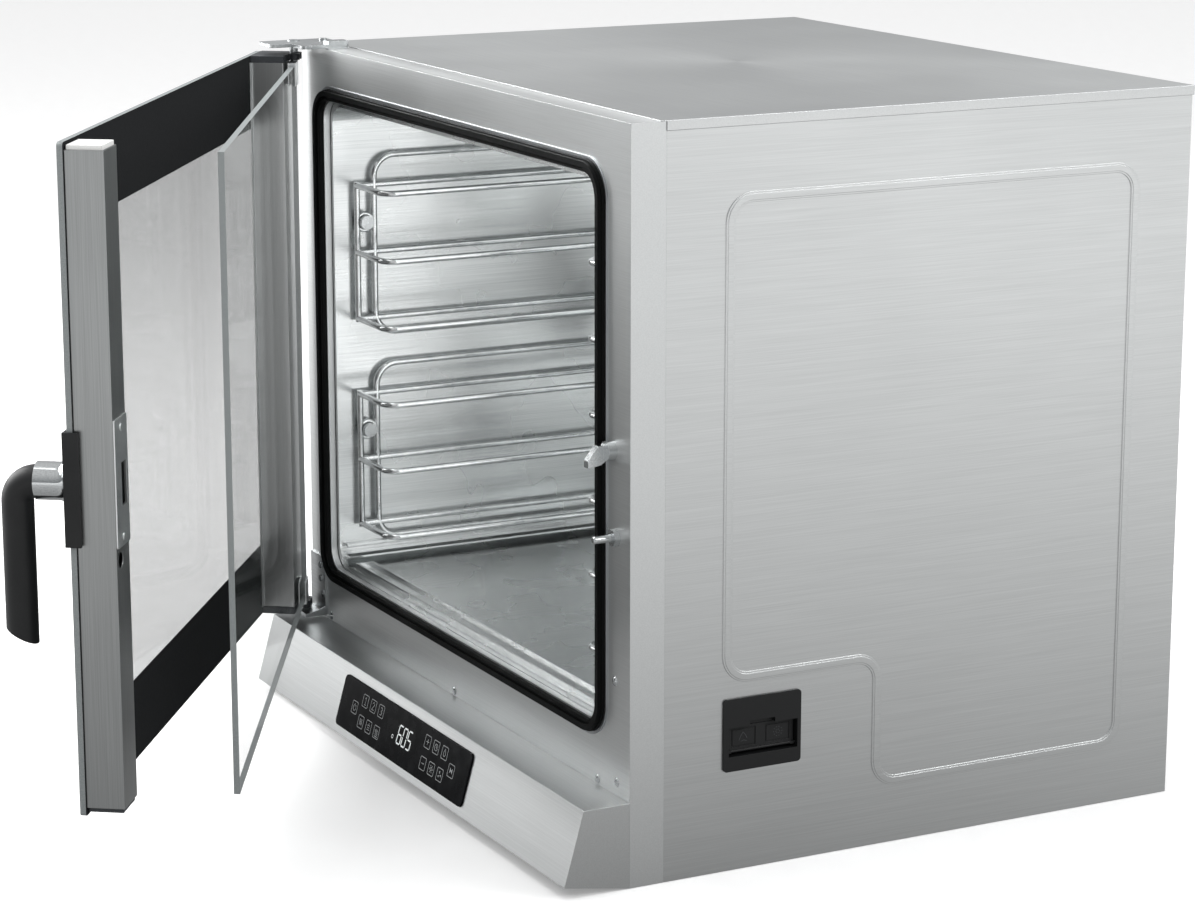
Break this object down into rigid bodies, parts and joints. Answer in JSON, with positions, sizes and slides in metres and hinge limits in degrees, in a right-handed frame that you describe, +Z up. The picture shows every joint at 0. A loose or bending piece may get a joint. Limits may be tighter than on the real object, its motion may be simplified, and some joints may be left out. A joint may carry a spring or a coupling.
{
  "type": "combi steamer oven",
  "caption": "Counter-top combi steamer with a side-hung glass door, a swinging inner pane, wire racks, a fan and a sloping console",
  "frame": {"origin": "on the rest plane, in the middle of the front frame's lower front edge", "axes": "+X to the right as a user faces the door, +Y to the back, +Z up"},
  "size_m": [0.8265, 1.2334, 0.766],
  "materials": {
    "brushed_steel": "fine horizontal grain",
    "hinge_steel": "rolled, lightly brushed",
    "chamber_steel": "bright annealed",
    "bright_wire": "electropolished wire",
    "screw_steel": "turned",
    "pipe_steel": "drawn tube",
    "seal_rubber": "silicone",
    "retainer": "folded strip",
    "polished_neck": "polished",
    "black_plastic": "moulded, fine grain",
    "board_green": "solder mask",
    "light_plastic": "moulded",
    "mineral_wool": "loose fibre",
    "motor_paint": "powder coat",
    "heater_sheath": "heat-tinted",
    "clear_glass": "toughened float glass",
    "black_glass": "black enamel on glass"
  },
  "bodies": {
    "casing": {"front_frame": "brushed_steel", "chamber_liner": "chamber_steel", "threshold_channel": "chamber_steel", "door_gasket": "seal_rubber", "gasket_retainer": "retainer", "side_panel_right": "brushed_steel", "side_panel_left": "brushed_steel", "top_cover": "brushed_steel", "rear_panel": "brushed_steel", "base_plate": "brushed_steel", "insulation": "mineral_wool", "casing_screws": "screw_steel", "control_console": "brushed_steel", "control_glass": "black_glass", "control_board": "board_green", "fascia_screws": "screw_steel", "power_board": "board_green", "switchgear": "black_plastic", "rack_lower_left": "bright_wire", "rack_upper_left": "bright_wire", "rack_lower_right": "bright_wire", "rack_upper_right": "bright_wire", "rack_studs": "bright_wire", "fan_baffle": "chamber_steel", "baffle_screws": "screw_steel", "shaft_seal": "light_plastic", "fan_motor": "motor_paint", "heater_rings": "heater_sheath", "water_nozzle": "bright_wire", "water_valve": "light_plastic", "drain_strainer": "chamber_steel", "drain_pipe": "pipe_steel", "exhaust_pipe": "pipe_steel", "damper_motor": "black_plastic", "temperature_probe": "bright_wire", "chamber_lamp": "pipe_steel", "cable_gland": "black_plastic", "cooling_fan": "black_plastic", "latch_catch": "hinge_steel", "switch_bush": "hinge_steel", "upper_hinge": "hinge_steel", "lower_hinge": "hinge_steel", "hinge_screws": "screw_steel", "hatch_bezel": "black_plastic"},
    "door": {"outer_glass": "clear_glass", "glass_print": "black_glass", "latch_stile": "brushed_steel", "hinge_stile": "hinge_steel", "door_caps": "black_plastic", "latch_plate": "hinge_steel", "handle_base": "black_plastic", "handle_neck": "polished_neck"},
    "inner_glass": {"inner_pane": "clear_glass", "pane_clips": "hinge_steel"},
    "lever": {"handle_lever": "black_plastic"},
    "fan": {"fan_wheel": "chamber_steel"},
    "cooling_rotor": {"cooling_wheel": "black_plastic"},
    "damper": {"vent_damper": "chamber_steel"},
    "switch_pin": {"door_switch_pin": "screw_steel"},
    "flap": {"hatch_flap": "black_plastic"}
  },
  "joints": [
    {"name": "door_hinge", "type": "hinge", "parent": "casing", "child": "door", "pos_m": [-0.388, -0.016, 0.4], "axis": [0, 0, -1], "range_deg": [-35.2, 60]},
    {"name": "pane_hinge", "type": "hinge", "parent": "door", "child": "inner_glass", "pos_m": [-0.37646, -0.02047, 0.4], "axis": [0, 0, -1], "range_deg": [-12.78, 7.5]},
    {"name": "handle_turn", "type": "hinge", "parent": "door", "child": "lever", "pos_m": [0.19998, -0.48707, 0.424], "axis": [-0.5764, -0.8171, 0], "range_deg": [0, 75]},
    {"name": "fan_spin", "type": "hinge", "parent": "casing", "child": "fan", "pos_m": [-0.003, 0.52, 0.4265], "axis": [0, 1, 0], "continuous": true},
    {"name": "cooling_spin", "type": "hinge", "parent": "casing", "child": "cooling_rotor", "pos_m": [-0.31, 0.63, 0.06], "axis": [0, 1, 0], "continuous": true},
    {"name": "damper_turn", "type": "hinge", "parent": "casing", "child": "damper", "pos_m": [-0.203, 0.55, 0.723], "axis": [1, 0, 0], "range_deg": [0, 90]},
    {"name": "switch_press", "type": "slide", "parent": "casing", "child": "switch_pin", "axis": [0, 1, 0], "range_m": [0, 0.006], "stiffness_N_per_m": 400},
    {"name": "flap_hinge", "type": "hinge", "parent": "casing", "child": "flap", "pos_m": [0.396, 0.15, 0.123], "axis": [0, 1, 0], "range_deg": [0, 90]}
  ],
  "couplings": [
    {"joint": "pane_hinge", "follows": "door_hinge", "ratio": -0.21307}
  ]
}
